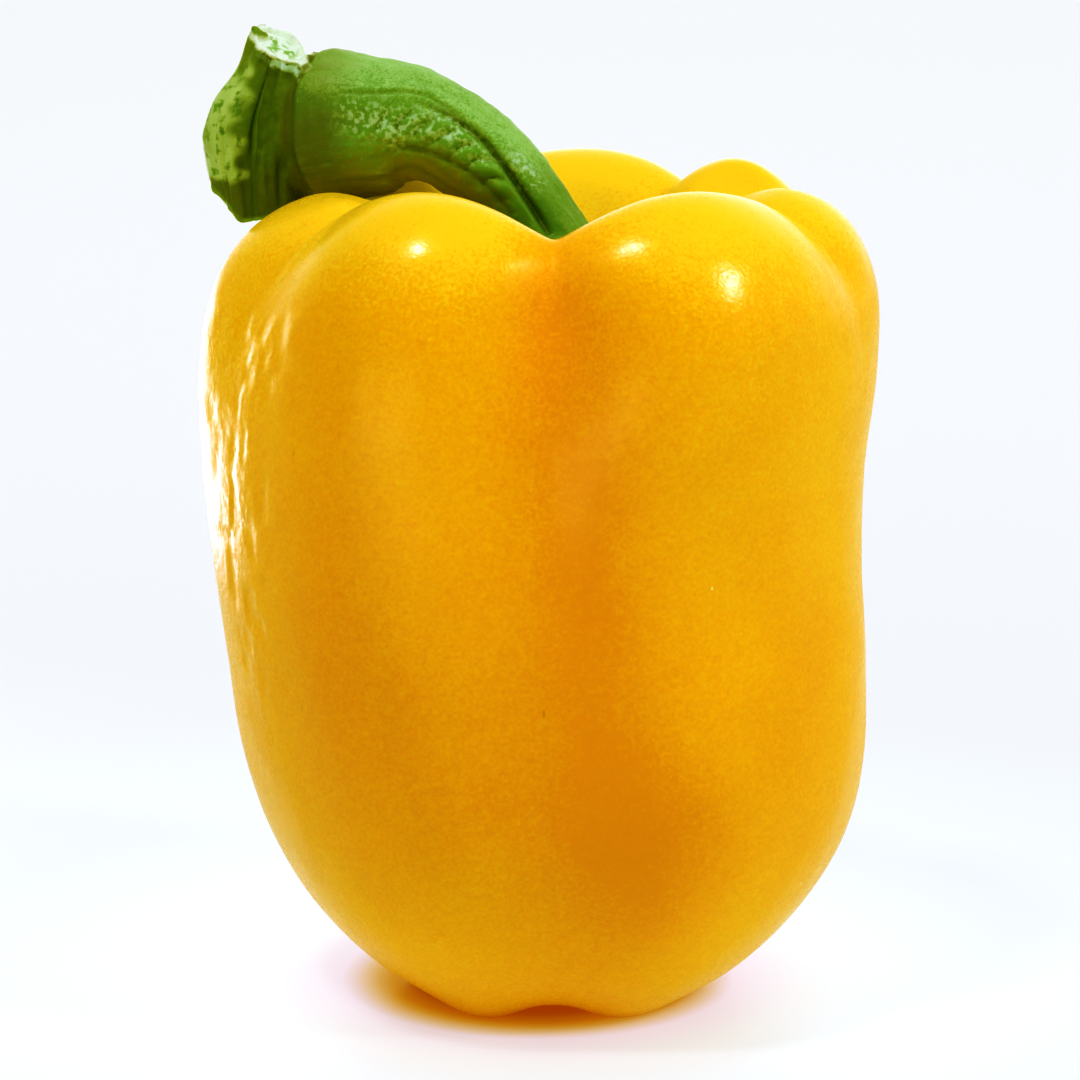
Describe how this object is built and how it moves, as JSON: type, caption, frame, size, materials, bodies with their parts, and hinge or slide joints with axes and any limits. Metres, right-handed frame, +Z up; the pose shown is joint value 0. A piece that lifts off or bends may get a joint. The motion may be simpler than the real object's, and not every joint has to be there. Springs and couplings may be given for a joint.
{
  "type": "bell pepper",
  "caption": "Blocky ripe yellow bell pepper standing on its lobes, with deep shoulder grooves, a sunken top, and a green curved stem with its calyx and a short cut length of branch.",
  "frame": {"origin": "on the surface that the pepper stands on, under the middle of its bounding box", "axes": "+Z up along the fruit; the front groove of the picture faces -Y; the stem bends over towards -X"},
  "size_m": [0.084, 0.0802, 0.1202],
  "materials": {
    "skin": "waxy glossy skin",
    "stem": "ribbed green stem, satin, with pale cut faces"
  },
  "bodies": {
    "root": {"fruit": "skin", "stem_and_calyx": "stem"}
  },
  "joints": []
}
